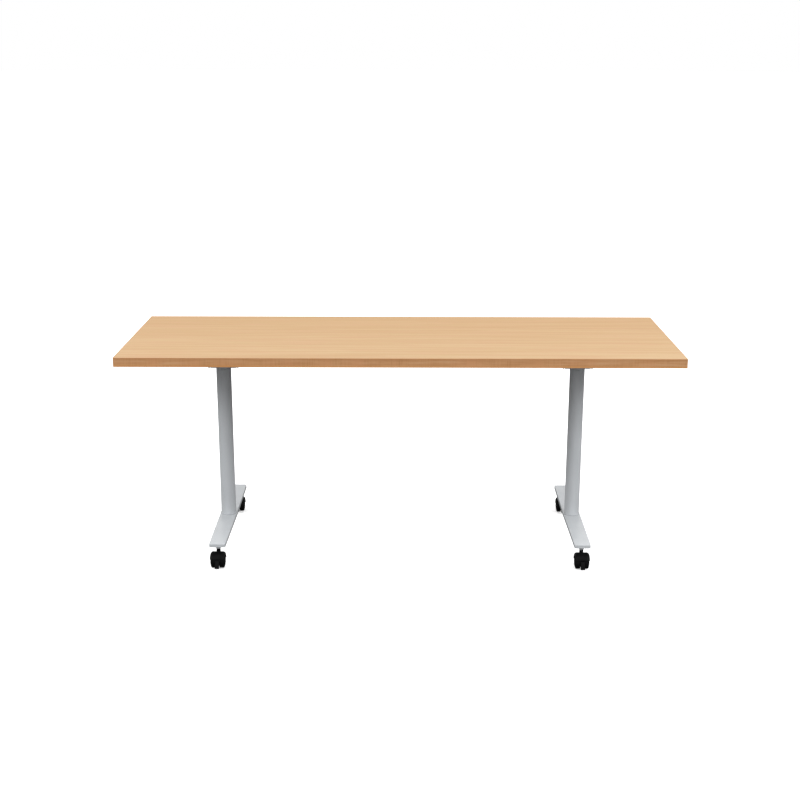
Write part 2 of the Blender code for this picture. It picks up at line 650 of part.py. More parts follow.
# Caster hood: a barrel-shaped shell over the wheels, a web, a neck and a lever tongue
def hood_section():
    """Closed section of the hood wall as (radius, sideways) points."""
    half = HOOD_HALF_WIDTH
    inner_half = half - HOOD_WALL
    outer = arc((HOOD_RADIUS - HOOD_CORNER, half - HOOD_CORNER), HOOD_CORNER, 0, 90, 2)
    outer.append((HOOD_RADIUS - HOOD_CORNER - HOOD_SKIRT / 2, half))
    inner_corner = HOOD_CORNER - HOOD_WALL
    inner = arc((HOOD_INNER - inner_corner, inner_half - inner_corner), inner_corner, 0, 90, 2)
    inner.append((HOOD_RADIUS - HOOD_CORNER - HOOD_SKIRT / 2, inner_half))
    right = outer + inner[::-1]
    left = [(radius, -offset) for radius, offset in right[::-1]]
    middle = len(outer)
    return left[len(inner):] + right[:middle] + right[middle:] + left[:len(inner)]


def build_hood_mesh():
    axle = Vector((0, -AXLE_TRAIL, WHEEL_RADIUS))
    bm = bmesh.new()
    start = radians(HOOD_FRONT_ANGLE)
    verts = [bm.verts.new((offset, -radius * cos(start), radius * sin(start)))
             for radius, offset in hood_section()]
    face = bm.faces.new(verts)
    sweep = radians(HOOD_BACK_ANGLE - HOOD_FRONT_ANGLE)
    bmesh.ops.spin(bm, geom=[face], axis=(-1, 0, 0), cent=(0, 0, 0), dvec=(0, 0, 0),
                   angle=sweep, steps=HOOD_STEPS, use_merge=False)
    bmesh.ops.translate(bm, verts=bm.verts, vec=axle)
    shell = finish_mesh(bm, "shell")
    web_top = arc((axle.y, axle.z), HOOD_INNER + HOOD_WALL / 2, 180 - WEB_FRONT_ANGLE,
                  180 - HOOD_BACK_ANGLE, 6)
    disc = arc((axle.y, axle.z), WEB_DISC_RADIUS, -5, -160, 7)
    boss = arc((axle.y, axle.z), WEB_BOSS_RADIUS, -180, -230, 2)
    web = extrude("web", web_top + disc + boss, -WEB_THICKNESS / 2, WEB_THICKNESS / 2, "X")
    pivot = lever_pivot()
    tongue_outline = belt([(pivot.y, pivot.z, TONGUE_TIP_RADIUS),
                           (axle.y, axle.z, TONGUE_ROOT_RADIUS)], SMALL_SIDES)
    tongue = extrude("tongue", tongue_outline, -TONGUE_HALF_WIDTH, TONGUE_HALF_WIDTH, "X")
    half_pin = LEVER_HALF_WIDTH - SEAT_GAP
    pin = rod("pin", LEVER_PIN_RADIUS, -half_pin, half_pin, SCREW_SIDES, "X", pivot)
    bore_low = NECK_TOP - STEM_DEPTH - STEM_GROOVE
    low = bore_low - HOOD_WALL
    neck_base = WHEEL_RADIUS + sqrt(HOOD_RADIUS ** 2 - AXLE_TRAIL ** 2)
    flare_low = neck_base - NECK_FLARE_HEIGHT / 2
    profile = [(0, low), (NECK_ROOT_RADIUS, low),
               (NECK_ROOT_RADIUS, flare_low - NECK_FLARE_HEIGHT), (NECK_BASE_RADIUS, flare_low),
               (NECK_WAIST_RADIUS, neck_base + NECK_FLARE_HEIGHT), (NECK_TOP_RADIUS, NECK_TOP),
               (0, NECK_TOP)]
    neck = revolve("neck", profile, SMALL_SIDES, closed=False)
    hood = join(shell, web, neck, tongue, pin)
    stem_bore = rod("stem_bore", STEM_DIAMETER / 2 + RUNNING_GAP, bore_low,
                    NECK_TOP + CUT_OVERSHOOT, SMALL_SIDES)
    reach = WEB_THICKNESS / 2 + CUT_OVERSHOOT
    axle_bore = rod("axle_bore", AXLE_DIAMETER / 2 + SEAT_GAP, -reach, reach, SMALL_SIDES, "X",
                    axle)
    return cut(hood, stem_bore, axle_bore)


def lever_pivot():
    turn = radians(LEVER_PIVOT_ANGLE)
    return Vector((0, -AXLE_TRAIL - LEVER_PIVOT_RADIUS * cos(turn),
                   WHEEL_RADIUS + LEVER_PIVOT_RADIUS * sin(turn)))


# Twin wheel: a moulded shell with a tread, a hub and a domed outer disc
def build_wheel_mesh():
    bore = AXLE_DIAMETER / 2 + RUNNING_GAP
    face = WHEEL_INNER_FACE
    bore_end = WHEEL_HALF_WIDTH - WHEEL_DRAFT
    disc = WHEEL_HALF_WIDTH - WHEEL_WEB
    hub = bore + WHEEL_HUB_WALL
    rim_inside = WHEEL_RADIUS - WHEEL_RIM
    dome_edge = HOOD_RADIUS - HOOD_CORNER - HOOD_SKIRT / 2 - HOOD_CLEARANCE / 2
    profile = [(0, bore_end), (bore, bore_end), (bore, face), (hub, face),
               (hub + WHEEL_DRAFT, disc), (rim_inside - WHEEL_DRAFT, disc), (rim_inside, face),
               (WHEEL_RADIUS, face), (WHEEL_RADIUS, WHEEL_HALF_WIDTH - WHEEL_CORNER),
               (WHEEL_RADIUS - WHEEL_CORNER, WHEEL_HALF_WIDTH), (dome_edge, WHEEL_HALF_WIDTH),
               (dome_edge - WHEEL_DRAFT, WHEEL_HALF_WIDTH + WHEEL_DISC_STEP),
               (dome_edge / 2, WHEEL_DOME), (0, WHEEL_DOME + WHEEL_CROWN)]
    return revolve("wheel", profile, WHEEL_SIDES, "X", False)


# Brake lever: a fork round the tongue's pin, an arm and a wider tab
def build_lever_mesh():
    pivot = lever_pivot()
    tip_y = -AXLE_TRAIL - LEVER_REACH - pivot.y
    tip_z = LEVER_TIP_HEIGHT - pivot.z
    elbow_y = -AXLE_TRAIL - LEVER_ELBOW_REACH - pivot.y
    elbow_z = WHEEL_RADIUS + LEVER_ELBOW_RISE - pivot.z
    half = LEVER_THICKNESS / 2
    neck_y = elbow_y + (tip_y - elbow_y) * LEVER_TAB_START
    neck_z = elbow_z + (tip_z - elbow_z) * LEVER_TAB_START
    hub = extrude("hub", belt([(0, 0, LEVER_HUB_RADIUS), (elbow_y, elbow_z, half)], SCREW_SIDES),
                  -LEVER_HALF_WIDTH, LEVER_HALF_WIDTH, "X")
    arm = extrude("arm", belt([(elbow_y, elbow_z, half), (neck_y, neck_z, half)], SCREW_SIDES),
                  -LEVER_HALF_WIDTH, LEVER_HALF_WIDTH, "X")
    tab = extrude("tab", belt([(neck_y, neck_z, half), (tip_y, tip_z, half)], SCREW_SIDES),
                  -LEVER_TAB_HALF_WIDTH, LEVER_TAB_HALF_WIDTH, "X")
    lever = join(hub, arm, tab)
    slot_half = TONGUE_HALF_WIDTH + RUNNING_GAP
    reach_y = -AXLE_TRAIL - pivot.y
    reach_z = WHEEL_RADIUS - pivot.z
    turn = radians(-LEVER_TRAVEL)
    swung = (reach_y * cos(turn) - reach_z * sin(turn), reach_y * sin(turn) + reach_z * cos(turn))
    root = TONGUE_ROOT_RADIUS + LEVER_SLOT_GAP
    slot_outline = belt([(0, 0, LEVER_HUB_RADIUS + LEVER_SLOT_GAP), (reach_y, reach_z, root),
                         (*swung, root)], SCREW_SIDES)
    slot = extrude("slot", slot_outline, -slot_half, slot_half, "X")
    reach = LEVER_HALF_WIDTH + CUT_OVERSHOOT
    hole = rod("hole", LEVER_PIN_RADIUS + RUNNING_GAP, -reach, reach, SCREW_SIDES, "X")
    return cut(lever, slot, hole)


def build_casters():
    hood = build_hood_mesh()
    wheel = build_wheel_mesh()
    lever = build_lever_mesh()
    pivot = lever_pivot()
    axle_place = (0, -AXLE_TRAIL, WHEEL_RADIUS)
    axle_half = WHEEL_HALF_WIDTH - AXLE_SHORTFALL
    pin = rod("axle", AXLE_DIAMETER / 2, -axle_half, axle_half, SMALL_SIDES, "X")
    for end, end_name in ENDS:
        for side, side_name in SIDES:
            name = end_name + "_" + side_name
            x = side * COLUMN_SPACING / 2
            stem_axis = make_empty("caster_" + name, (x, end * CASTER_PLACE, 0))
            build_socket(stem_axis, name)
            make_object("caster_hood_" + name, hood, NYLON, stem_axis)
            make_object("caster_axle_" + name, pin, STEEL, stem_axis, axle_place)
            make_object("brake_lever_" + name, lever, NYLON, stem_axis, pivot)
            for way, way_name in ((-side, "inner"), (side, "outer")):
                roller = make_object("caster_wheel_" + name + "_" + way_name, wheel, NYLON,
                                     stem_axis, axle_place)
                roller.rotation_euler.z = 0 if way > 0 else pi


tilt_axis = make_empty("tilt_axis", (0, 0, PIVOT_HEIGHT))
build_top(tilt_axis)
for side, side_name in SIDES:
    leg = make_empty("leg_" + side_name, (side * COLUMN_SPACING / 2, 0, 0))
    build_foot(leg, side_name)
    build_column(leg, side_name)
    build_head(leg, side_name, side)
    build_bracket(tilt_axis, side, side_name)
build_cross_tube()
build_release(tilt_axis)
build_casters()
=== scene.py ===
from math import acos, atan2, cos, degrees, pi, radians, sin

import bmesh
import bpy
from mathutils import Matrix, Vector


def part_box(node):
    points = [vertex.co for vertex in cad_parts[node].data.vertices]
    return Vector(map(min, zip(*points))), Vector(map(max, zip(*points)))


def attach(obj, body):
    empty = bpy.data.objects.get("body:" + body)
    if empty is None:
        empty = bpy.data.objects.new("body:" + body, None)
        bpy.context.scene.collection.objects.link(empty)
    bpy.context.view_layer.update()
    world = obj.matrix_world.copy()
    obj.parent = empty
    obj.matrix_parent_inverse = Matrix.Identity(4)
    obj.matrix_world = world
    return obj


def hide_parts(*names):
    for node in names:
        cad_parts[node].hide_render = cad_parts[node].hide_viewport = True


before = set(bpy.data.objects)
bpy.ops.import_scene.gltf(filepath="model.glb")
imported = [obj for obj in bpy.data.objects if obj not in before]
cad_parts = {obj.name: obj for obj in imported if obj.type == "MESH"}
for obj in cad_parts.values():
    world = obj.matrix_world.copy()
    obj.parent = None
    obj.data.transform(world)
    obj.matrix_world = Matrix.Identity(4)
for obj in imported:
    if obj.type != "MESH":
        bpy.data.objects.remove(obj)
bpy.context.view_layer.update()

# The photograph's camera stands about four metres in front of the middle of the table, nearly a
# metre above its top, and looks down on it through a normal lens.
camera_place = Vector((0.0106, -4.230, 1.683))
camera_tilt_down = 0.2720
camera_turn_left = 0.0028
camera_roll = 0.0019
camera_data = bpy.data.cameras.new("camera")
camera_data.sensor_width = 36.0
camera_data.lens = 56.98
camera_data.clip_end = 200.0
camera = bpy.data.objects.new("camera", camera_data)
bpy.context.collection.objects.link(camera)
camera.matrix_world = (Matrix.Translation(camera_place)
                       @ Matrix.Rotation(camera_turn_left, 4, "Z")
                       @ Matrix.Rotation(pi / 2 - camera_tilt_down, 4, "X")
                       @ Matrix.Rotation(camera_roll, 4, "Z"))
bpy.context.scene.camera = camera
bpy.context.scene.view_settings.view_transform = "Standard"

# The studio is a plain white room, brightest overhead and in front, with a large round softbox on
# each side. The camera itself sees the room as plain white.
room_strength = 1.29
horizon_share = 0.80
horizon_blur = 0.03
zenith_share = 1.20
front_share = 1.10
rear_share = 0.84
floor_share = 0.12
world = bpy.data.worlds.new("studio")
world.use_nodes = True
world_nodes = world.node_tree.nodes
world_wire = world.node_tree.links.new
towards_room = world_nodes.new("ShaderNodeSeparateXYZ")
world_wire(world_nodes.new("ShaderNodeTexCoord").outputs["Generated"],
           towards_room.inputs["Vector"])
level = None
for direction, start, stop, at_start, at_stop in (
        ("Z", -horizon_blur, 0.0, floor_share, 1.0),
        ("Z", 0.0, 1.0, horizon_share, zenith_share),
        ("Y", -1.0, 1.0, front_share, rear_share)):
    share = world_nodes.new("ShaderNodeMapRange")
    for socket, value in (("From Min", start), ("From Max", stop), ("To Min", at_start),
                          ("To Max", at_stop)):
        share.inputs[socket].default_value = value
    world_wire(towards_room.outputs[direction], share.inputs["Value"])
    product = world_nodes.new("ShaderNodeMath")
    product.operation = "MULTIPLY"
    product.inputs[1].default_value = room_strength
    world_wire(share.outputs["Result"], product.inputs[0])
    if level is not None:
        world_wire(level, product.inputs[1])
    level = product.outputs["Value"]
seen = world_nodes.new("ShaderNodeMath")
seen.operation = "MAXIMUM"
world_wire(level, seen.inputs[0])
world_wire(world_nodes.new("ShaderNodeLightPath").outputs["Is Camera Ray"], seen.inputs[1])
world_wire(seen.outputs["Value"], world_nodes["Background"].inputs["Strength"])
world_nodes["Background"].inputs["Color"].default_value = (1.0, 1.0, 1.0, 1.0)
bpy.context.scene.world = world

softbox_distance = 6.0
softbox_size = 2.6
softbox_above = 30.0
lit_middle = Vector((0.0, 0.0, 0.4))
for softbox, round_from_front, watts in (("left", -60.0, 125.0), ("right", 60.0, 150.0)):
    light_data = bpy.data.lights.new("softbox_" + softbox, "AREA")
    light_data.shape = "DISK"
    light_data.size = softbox_size
    light_data.energy = watts
    light = bpy.data.objects.new("softbox_" + softbox, light_data)
    bpy.context.collection.objects.link(light)
    towards = Vector((sin(radians(round_from_front)) * cos(radians(softbox_above)),
                      -cos(radians(round_from_front)) * cos(radians(softbox_above)),
                      sin(radians(softbox_above))))
    light.location = lit_middle + softbox_distance * towards
    light.rotation_euler = (-towards).to_track_quat("-Z", "Y").to_euler()

# The floor is a wide white sheet that glows a little, so that only soft shadows show on it. It
# throws no light back at the table.
floor_radius = 90.0
floor_drop = 0.0002
floor_glow = 0.35


def start_material(name, roughness, metallic=0.0):
    """A new material, its shader, a function that adds a node and one that wires two sockets."""
    material = bpy.data.materials.new(name)
    material.use_nodes = True
    tree = material.node_tree
    shader = tree.nodes["Principled BSDF"]
    shader.inputs["Roughness"].default_value = roughness
    shader.inputs["Metallic"].default_value = metallic

    def add(kind, values=None, **settings):
        node = tree.nodes.new(kind)
        for key, value in settings.items():
            setattr(node, key, value)
        for key, value in (values or {}).items():
            if isinstance(value, bpy.types.NodeSocket):
                tree.links.new(value, node.inputs[key])
            else:
                node.inputs[key].default_value = value
        return node

    return material, shader, add, tree.links.new


floor_material, shader, add, wire = start_material("studio_floor", 0.9)
shader.inputs["Base Color"].default_value = (0.96, 0.96, 0.96, 1.0)
shader.inputs["Specular IOR Level"].default_value = 0.0
shader.inputs["Emission Color"].default_value = (1.0, 1.0, 1.0, 1.0)
shader.inputs["Emission Strength"].default_value = floor_glow
bm = bmesh.new()
bmesh.ops.create_circle(bm, cap_ends=True, segments=64, radius=floor_radius)
floor_mesh = bpy.data.meshes.new("floor")
bm.to_mesh(floor_mesh)
bm.free()
floor_mesh.materials.append(floor_material)
floor = bpy.data.objects.new("floor", floor_mesh)
bpy.context.collection.objects.link(floor)
floor.location.z = -floor_drop
floor.visible_diffuse = False
floor.visible_glossy = False

# The top is a chipboard panel under a satin beech-print laminate. The print's growth lines, short
# flecks and slow changes of shade run along the table; the underside has the same backing sheet.
board_shaded_rear = (0.446, 0.283, 0.135)
board_lit_front = (0.493, 0.342, 0.190)
board_line = (0.384, 0.235, 0.106)
board_streak = (0.404, 0.236, 0.106)
board_blush = (0.468, 0.272, 0.152)
board_fleck = (0.323, 0.184, 0.079)
board_fibre = (0.400, 0.252, 0.122)
board_corner = 0.003
board_edge_break = 0.0003
print_specular = 0.12
relief_depth = 0.0002
same_height = 1e-5


def place_on_table(add):
    """Sockets for X, Y and Z on the table."""
    place = add("ShaderNodeTexCoord").outputs["Object"]
    return add("ShaderNodeSeparateXYZ", {"Vector": place}).outputs


def stretched(add, along_x=1.0, along_y=1.0, along_z=1.0):
    """Object coordinates squeezed by a factor along each axis."""
    place = add("ShaderNodeTexCoord").outputs["Object"]
    scaled = add("ShaderNodeMapping", {"Vector": place, "Scale": (along_x, along_y, along_z)})
    return scaled.outputs["Vector"]


def cloud(add, vector, scale, detail, roughness=0.55):
    """Soft noise between 0 and 1."""
    values = {"Vector": vector, "Scale": scale, "Detail": detail, "Roughness": roughness}
    return add("ShaderNodeTexNoise", values).outputs["Fac"]


def spread(add, value, low, high, to_low=0.0, to_high=1.0):
    """A value moved from one range to another, and held at the ends."""
    values = {"Value": value, "From Min": low, "From Max": high, "To Min": to_low,
              "To Max": to_high}
    return add("ShaderNodeMapRange", values).outputs["Result"]


def blend_colours(add, factor, first, second, kind="MIX"):
    """Mix two colours, each of them a socket or a plain red, green and blue."""
    first, second = (colour if isinstance(colour, bpy.types.NodeSocket) else (*colour, 1.0)
                     for colour in (first, second))
    values = {0: factor, 6: first, 7: second}
    return add("ShaderNodeMix", values, data_type="RGBA", blend_type=kind).outputs[2]


def printed(add, colour, layers):
    """Lay tints over a colour, each where its pattern goes from faint to full."""
    for pattern, faint, full, share, tint in layers:
        strength = spread(add, pattern, faint, full, 0.0, share)
        colour = blend_colours(add, strength, colour, tint)
    return colour


def add_bump(add, wire, shader, height, strength):
    values = {"Height": height, "Strength": strength, "Distance": relief_depth}
    wire(add("ShaderNodeBump", values).outputs["Normal"], shader.inputs["Normal"])


laminate, shader, add, wire = start_material("beech_laminate", 0.48)
shader.inputs["Specular IOR Level"].default_value = print_specular
long_grain = cloud(add, stretched(add, 0.8, 130.0, 130.0), 1.0, 4.0, 0.62)
streaks = cloud(add, stretched(add, 1.6, 80.0, 80.0), 1.0, 3.0, 0.55)
fibres = cloud(add, stretched(add, 5.0, 420.0, 420.0), 1.6, 3.0, 0.7)
flecks = cloud(add, stretched(add, 22.0, 300.0, 300.0), 3.0, 2.0, 0.5)
blush = cloud(add, stretched(add, 4.5, 55.0, 55.0), 1.0, 2.0, 0.5)
table_front, table_rear = (corner.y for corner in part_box("edge_band"))
# Painted light and shade: the face is painted paler towards the front edge, darker towards the
# rear.
painted_light_to_front = spread(add, place_on_table(add)["Y"], table_rear, table_front)
colour = printed(add, blend_colours(add, painted_light_to_front, board_shaded_rear, board_lit_front), (
    (long_grain, 0.44, 0.68, 0.42, board_line),
    (streaks, 0.44, 0.62, 0.60, board_streak),
    (blush, 0.46, 0.66, 0.50, board_blush),
    (flecks, 0.62, 0.72, 0.35, board_fleck),
    (fibres, 0.35, 0.65, 0.25, board_fibre)))
wire(colour, shader.inputs["Base Color"])
wire(spread(add, fibres, 0.3, 0.7, 0.44, 0.54), shader.inputs["Roughness"])
add_bump(add, wire, shader, fibres, 0.10)


def finish_piece(bm, name, material, body, nodes, sharp=32.0, edge_break=0.0):
    """Make a bmesh a smooth-shaded piece that rides on its body in place of CAD nodes.

    Edges that turn more than sharp, in degrees, stay crisp, and edge_break is a bevel's width.
    """
    mesh = bpy.data.meshes.new(name)
    bm.to_mesh(mesh)
    bm.free()
    mesh.shade_smooth()
    mesh.set_sharp_from_angle(angle=radians(sharp))
    mesh.materials.append(material)
    piece = bpy.data.objects.new(name, mesh)
    bpy.context.collection.objects.link(piece)
    if edge_break:
        bevel = piece.modifiers.new("edge_break", "BEVEL")
        bevel.width = edge_break
        bevel.segments = 2
        bevel.limit_method = "ANGLE"
        bevel.angle_limit = radians(40.0)
    flatten = piece.modifiers.new("flat_faces_stay_flat", "WEIGHTED_NORMAL")
    flatten.mode = "FACE_AREA"
    flatten.keep_sharp = True
    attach(piece, body)
    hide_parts(*nodes)


def block(low, high):
    """A box between two corners."""
    bm = bmesh.new()
    bmesh.ops.create_cube(bm, size=1.0)
    bmesh.ops.scale(bm, verts=bm.verts, vec=high - low)
    bmesh.ops.translate(bm, verts=bm.verts, vec=(low + high) / 2)
    return bm


def upright(edge):
    return abs(edge.verts[0].co.z - edge.verts[1].co.z) > same_height


def round_edges(bm, edges, radius, segments):
    bmesh.ops.bevel(bm, geom=edges, offset=radius, segments=segments, profile=0.5,
                    affect="EDGES", material=-1, clamp_overlap=True)


board_low, board_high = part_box("tabletop")
bm = block(board_low, board_high)
round_edges(bm, [edge for edge in bm.edges if upright(edge)], board_corner, 6)
round_edges(bm, [edge for edge in bm.edges if not upright(edge)], board_edge_break, 2)
finish_piece(bm, "top_board", laminate, "top", ["tabletop"])

# The edge is a band just over 2 mm thick with a beech end-grain print, pressed round the board. It
# is browner than the face, ticked with short upright lines, darkened towards the top by painted
# shade and warmed at the foot by painted warm light, and a little rounded at both outer rims.
band_brown = (0.443, 0.233, 0.108)
band_dark = (0.335, 0.163, 0.068)
band_pale = (0.490, 0.285, 0.155)
band_blush = (0.475, 0.234, 0.115)
band_painted_warm_light = (0.520, 0.240, 0.078)
band_painted_shade_from = 0.012
band_painted_shade_full = 0.001
band_painted_shade_share = 0.50
band_painted_warmth_from = 0.0080
band_painted_warmth_full = 0.0055
band_painted_warmth_share = 0.45
band_rim_radius = 0.0007
band_corner = 0.005
clear_of_board = 0.001

band_finish, shader, add, wire = start_material("beech_edge_band", 0.48)
shader.inputs["Specular IOR Level"].default_value = print_specular
ticks = cloud(add, stretched(add, 230.0, 230.0, 7.0), 1.0, 3.0, 0.65)
rings = cloud(add, stretched(add, 7.0, 7.0, 130.0), 1.0, 3.0, 0.6)
patches = cloud(add, stretched(add, 12.0, 12.0, 4.0), 1.0, 2.0, 0.5)
ticked = blend_colours(add, spread(add, ticks, 0.34, 0.52, 0.45, 1.0), band_dark, band_brown)
height = place_on_table(add)["Z"]
band_low, band_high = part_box("edge_band")
colour = printed(add, ticked, (
    (ticks, 0.60, 0.78, 0.25, band_pale),
    (rings, 0.50, 0.64, 0.65, band_pale),
    (rings, 0.48, 0.36, 0.45, band_dark),
    (patches, 0.48, 0.66, 0.50, band_blush),
    # Painted shade: the band is painted darker towards its top edge.
    (height, band_high.z - band_painted_shade_from, band_high.z - band_painted_shade_full, band_painted_shade_share,
     band_dark),
    # Painted warm light: the band is painted warmer and paler along its foot.
    (height, band_low.z + band_painted_warmth_from, band_low.z + band_painted_warmth_full, band_painted_warmth_share,
     band_painted_warm_light)))
wire(colour, shader.inputs["Base Color"])
wire(spread(add, ticks, 0.3, 0.7, 0.42, 0.54), shader.inputs["Roughness"])
add_bump(add, wire, shader, ticks, 0.15)


def on_outside(edge):
    """Whether a level edge runs round the outside of the band, clear of the board."""
    middle = (edge.verts[0].co + edge.verts[1].co) / 2
    return (abs(middle.x) > board_high.x + clear_of_board
            or abs(middle.y) > board_high.y + clear_of_board)


bm = block(band_low, band_high)
round_edges(bm, [edge for edge in bm.edges if upright(edge)], band_corner, 8)
caps = [face for face in bm.faces if abs(face.normal.z) > 0.9]
band_wall = board_low.x - band_low.x
bmesh.ops.inset_region(bm, faces=caps, thickness=band_wall, use_even_offset=True)
rims = [edge for face in caps for edge in face.edges]
bmesh.ops.delete(bm, geom=caps, context="FACES_ONLY")
bmesh.ops.bridge_loops(bm, edges=[edge for edge in rims if edge.is_valid])
bmesh.ops.recalc_face_normals(bm, faces=bm.faces)
outer_rim = [edge for edge in bm.edges if not upright(edge) and on_outside(edge)
             and any(abs(face.normal.z) < 0.1 for face in edge.link_faces)
             and any(abs(face.normal.z) > 0.9 for face in edge.link_faces)]
round_edges(bm, outer_rim, band_rim_radius, 3)
finish_piece(bm, "edge_banding", band_finish, "top", ["edge_band"])

# The columns are 51 mm steel tubes, powder coated in a fine silver that is slightly uneven, with a
# soft sheen. On the cast feet, which end where the tubes begin, the same coat is smoother and
# glossier; painted shade darkens them near the column and painted light pales them towards the
# front.
silver_grey = (0.480, 0.499, 0.518)
silver_fleck = (0.590, 0.610, 0.628)
silver_shade = (0.430, 0.449, 0.466)
silver_cast_from = 0.0004
silver_cast_full = 0.0002
silver_cast_roughness = 0.55
silver_foot_painted_shade = 0.90
silver_foot_painted_light = 1.06
silver_foot_painted_light_reach = 0.30
silver_tube_specular = 0.30
silver_cast_specular = 0.55

silver_coat, shader, add, wire = start_material("silver_powder_coat", 0.45, 0.10)
sparkle = cloud(add, stretched(add), 2600.0, 1.0, 0.5)
mottle = cloud(add, stretched(add, 1.0, 1.0, 0.6), 14.0, 3.0, 0.5)
colour = blend_colours(add, spread(add, mottle, 0.20, 0.80), silver_shade, silver_grey)
colour = printed(add, colour, [(sparkle, 0.56, 0.70, 0.55, silver_fleck)])
place = place_on_table(add)
foot_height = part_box("foot_left")[1].z
cast = spread(add, place["Z"], foot_height + silver_cast_from, foot_height + silver_cast_full)
# Painted light and shade: the feet are painted darker near the column and paler towards the front.
foot_painted_light_and_shade = spread(add, place["Y"], 0.0, -silver_foot_painted_light_reach, silver_foot_painted_shade, silver_foot_painted_light)
colour = blend_colours(add, cast, colour, foot_painted_light_and_shade, "MULTIPLY")
wire(colour, shader.inputs["Base Color"])
matt = spread(add, mottle, 0.1, 0.9, 0.43, 0.49)
smoothed = add("ShaderNodeMath", {0: spread(add, cast, 0.0, 1.0, 1.0, silver_cast_roughness),
                                  1: matt}, operation="MULTIPLY").outputs["Value"]
wire(smoothed, shader.inputs["Roughness"])
wire(spread(add, cast, 0.0, 1.0, silver_tube_specular, silver_cast_specular),
     shader.inputs["Specular IOR Level"])
peel = cloud(add, stretched(add), 650.0, 2.0, 0.5)
add_bump(add, wire, shader, peel, 0.12)


def turned(profile, place, steps=96, axis="Z"):
    """Spin a profile of (radius, distance along the axis) points about an axis through a place.

    A profile that starts on the axis makes a solid piece, and any other one makes a ring.
    """
    bm = bmesh.new()
    points = [bm.verts.new((radius, 0.0, along)) for radius, along in profile]
    edges = [bm.edges.new(pair) for pair in zip(points, points[1:])]
    if profile[0][0] > 0.0:
        edges.append(bm.edges.new((points[-1], points[0])))
    bmesh.ops.spin(bm, geom=points + edges, axis=(0, 0, 1), cent=(0, 0, 0), dvec=(0, 0, 0),
                   angle=2 * pi, steps=steps, use_merge=True)
    bmesh.ops.remove_doubles(bm, verts=bm.verts, dist=1e-6)
    lay = Matrix.Rotation(pi / 2, 4, "Y") if axis == "X" else Matrix.Identity(4)
    bmesh.ops.transform(bm, matrix=Matrix.Translation(place) @ lay, verts=bm.verts)
    bmesh.ops.recalc_face_normals(bm, faces=bm.faces)
    return bm


column_wall = 0.002
column_edge = 0.0004
for side in ("left", "right"):
    low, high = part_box("column_" + side)
    middle = (low + high) / 2
    outside = (high.x - low.x) / 2
    inside = outside - column_wall
    profile = [(inside, low.z), (outside - column_edge, low.z), (outside, low.z + column_edge),
               (outside, high.z - column_edge), (outside - column_edge, high.z), (inside, high.z)]
    bm = turned(profile, (middle.x, middle.y, 0.0))
    finish_piece(bm, "leg_tube_" + side, silver_coat, "frame",
                 ["column_" + side])

# Each foot is a die-cast bar: widest under the column, tapered to round-cornered ends, softened
# along its upper edge and pocketed underneath between ribs.
foot_waist = 0.058
foot_tip = 0.054
foot_corner = 0.006
foot_top_round = 0.0015
foot_edge = 0.0004
foot_skin = 0.005
foot_rib = 0.008
foot_pocket_inset = 0.0036
foot_pad = 0.030


def rounded(centre, radius, start, stop, steps):
    """Points on an arc between two angles in degrees, measured from the first axis."""
    return [(centre[0] + radius * cos(radians(start + (stop - start) * step / steps)),
             centre[1] + radius * sin(radians(start + (stop - start) * step / steps)))
            for step in range(steps + 1)]


def foot_outline(low, high):
    centre = (low + high) / 2
    half = (high.y - low.y) / 2
    tip = foot_tip / 2 - foot_corner
    points = []
    for quarter, (sx, sy) in enumerate(((1, 1), (-1, 1), (-1, -1), (1, -1))):
        if quarter in (2, 0):
            points.append((foot_waist / 2 * sx, 0.0))
        points += rounded((sx * tip, sy * (half - foot_corner)), foot_corner,
                          90 * quarter, 90 * quarter + 90, 8)
    return [(x + centre.x, y + centre.y) for x, y in points]


def extrude(bm, faces, way):
    grown = bmesh.ops.extrude_face_region(bm, geom=faces)["geom"]
    moved = [item for item in grown if isinstance(item, bmesh.types.BMVert)]
    bmesh.ops.translate(bm, verts=moved, vec=way)


def slice_through(bm, point, facing, clear_inner=False):
    """Cut new edges where a plane crosses, and clear what is behind it if asked."""
    bmesh.ops.bisect_plane(bm, geom=bm.verts[:] + bm.edges[:] + bm.faces[:], dist=1e-7,
                           plane_co=point, plane_no=facing, clear_inner=clear_inner)


for side in ("left", "right"):
    low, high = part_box("foot_" + side)
    bm = bmesh.new()
    base = bm.faces.new([bm.verts.new((x, y, low.z)) for x, y in foot_outline(low, high)])
    extrude(bm, [base], (0, 0, high.z - low.z))
    bmesh.ops.recalc_face_normals(bm, faces=bm.faces)
    top_rim = [edge for edge in bm.edges
               if min(vert.co.z for vert in edge.verts) > high.z - same_height]
    round_edges(bm, top_rim, foot_top_round, 5)
    bottom_rim = [edge for edge in bm.edges
                  if max(vert.co.z for vert in edge.verts) < low.z + same_height]
    round_edges(bm, bottom_rim, foot_edge, 2)
    stem_low, stem_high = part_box("caster_stem_back_" + side)
    stem_y = (stem_low.y + stem_high.y) / 2
    socket_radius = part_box("caster_socket_back_" + side)[1].y - stem_y
    pocket_end = stem_y - socket_radius - foot_rib
    pocket_length = (pocket_end - foot_pad - foot_rib) / 2
    spans = []
    for way in (-1, 1):
        for number in range(2):
            near = foot_pad + number * (pocket_length + foot_rib)
            spans.append(sorted((way * near, way * (near + pocket_length))))
    for span in spans:
        for end in span:
            slice_through(bm, (0, end, 0), (0, 1, 0))
    for near, far in spans:
        pocket = [face for face in bm.faces if face.normal.z < -0.9
                  and near < face.calc_center_median().y < far]
        bmesh.ops.inset_region(bm, faces=pocket, thickness=foot_pocket_inset,
                               use_even_offset=True)
        extrude(bm, pocket, (0, 0, high.z - low.z - foot_skin))
        bmesh.ops.delete(bm, geom=pocket, context="FACES")
    finish_piece(bm, "foot_casting_" + side, silver_coat, "frame",
                 ["foot_" + side])

